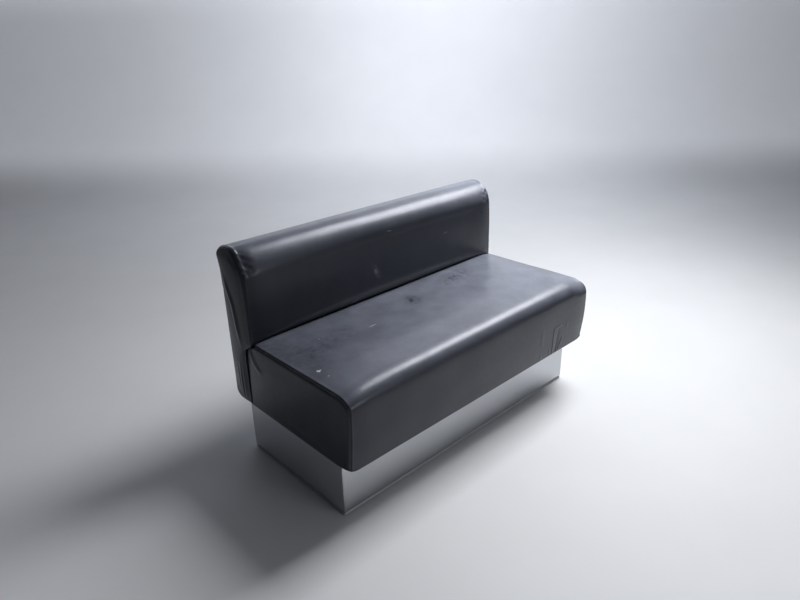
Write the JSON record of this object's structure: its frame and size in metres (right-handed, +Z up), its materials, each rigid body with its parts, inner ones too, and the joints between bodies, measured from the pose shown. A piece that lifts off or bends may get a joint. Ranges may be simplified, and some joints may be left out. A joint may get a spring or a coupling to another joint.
{
  "type": "two-seat sofa",
  "caption": "Armless upholstered bench sofa with a continuous padded seat, a round-topped padded back and a closed, metal-faced plinth in place of legs.",
  "frame": {"origin": "on the floor, below the middle of the whole bench", "axes": "+X along the bench, +Y from its front to its back, +Z up"},
  "size_m": [1.2, 0.634, 0.77],
  "materials": {
    "leatherette": "black coated leatherette, fine grain, half gloss",
    "foiled_board": "satin aluminium foil on 18 mm board",
    "chipboard": "raw chipboard",
    "grey_plastic": "grey plastic sealing profile",
    "black_plastic": "black moulded plastic",
    "softwood": "sawn softwood",
    "plywood": "plain plywood",
    "black_cloth": "thin black nonwoven cloth",
    "foam": "upholstery foam",
    "zinc_steel": "zinc-plated steel"
  },
  "bodies": {
    "root": {"plinth_front_panel": "foiled_board", "plinth_rear_panel": "foiled_board", "plinth_left_panel": "foiled_board", "plinth_right_panel": "foiled_board", "plinth_middle_rib": "chipboard", "plinth_front_seal": "grey_plastic", "plinth_left_seal": "grey_plastic", "plinth_right_seal": "grey_plastic", "plinth_block_front_left": "softwood", "plinth_block_front_right": "softwood", "plinth_block_rear_left": "softwood", "plinth_block_rear_right": "softwood", "plinth_front_cleat": "softwood", "plinth_rear_cleat": "softwood", "floor_glide_front_left": "black_plastic", "floor_glide_front_right": "black_plastic", "floor_glide_rear_left": "black_plastic", "floor_glide_rear_right": "black_plastic", "seat_front_rail": "softwood", "seat_rear_rail": "softwood", "seat_left_rail": "softwood", "seat_right_rail": "softwood", "seat_cross_rail_left": "softwood", "seat_cross_rail_right": "softwood", "seat_deck_board": "plywood", "seat_dust_cover": "black_cloth", "seat_foam": "foam", "seat_front_pad": "foam", "seat_left_pad": "foam", "seat_right_pad": "foam", "seat_cover_main": "leatherette", "seat_cover_left_end": "leatherette", "seat_cover_right_end": "leatherette", "back_board": "plywood", "back_top_rail": "softwood", "back_foot_rail": "softwood", "back_left_stile": "softwood", "back_middle_stile": "softwood", "back_right_stile": "softwood", "back_foam": "foam", "back_left_pad": "foam", "back_right_pad": "foam", "back_cover_main": "leatherette", "back_cover_left_end": "leatherette", "back_cover_right_end": "leatherette", "back_rear_cover": "leatherette", "seat_screw_front_left": "zinc_steel", "seat_screw_front_right": "zinc_steel", "seat_screw_rear_left": "zinc_steel", "seat_screw_rear_right": "zinc_steel", "back_bolt_outer_left": "zinc_steel", "back_bolt_outer_right": "zinc_steel", "back_bolt_inner_left": "zinc_steel", "back_bolt_inner_right": "zinc_steel"}
  },
  "joints": []
}
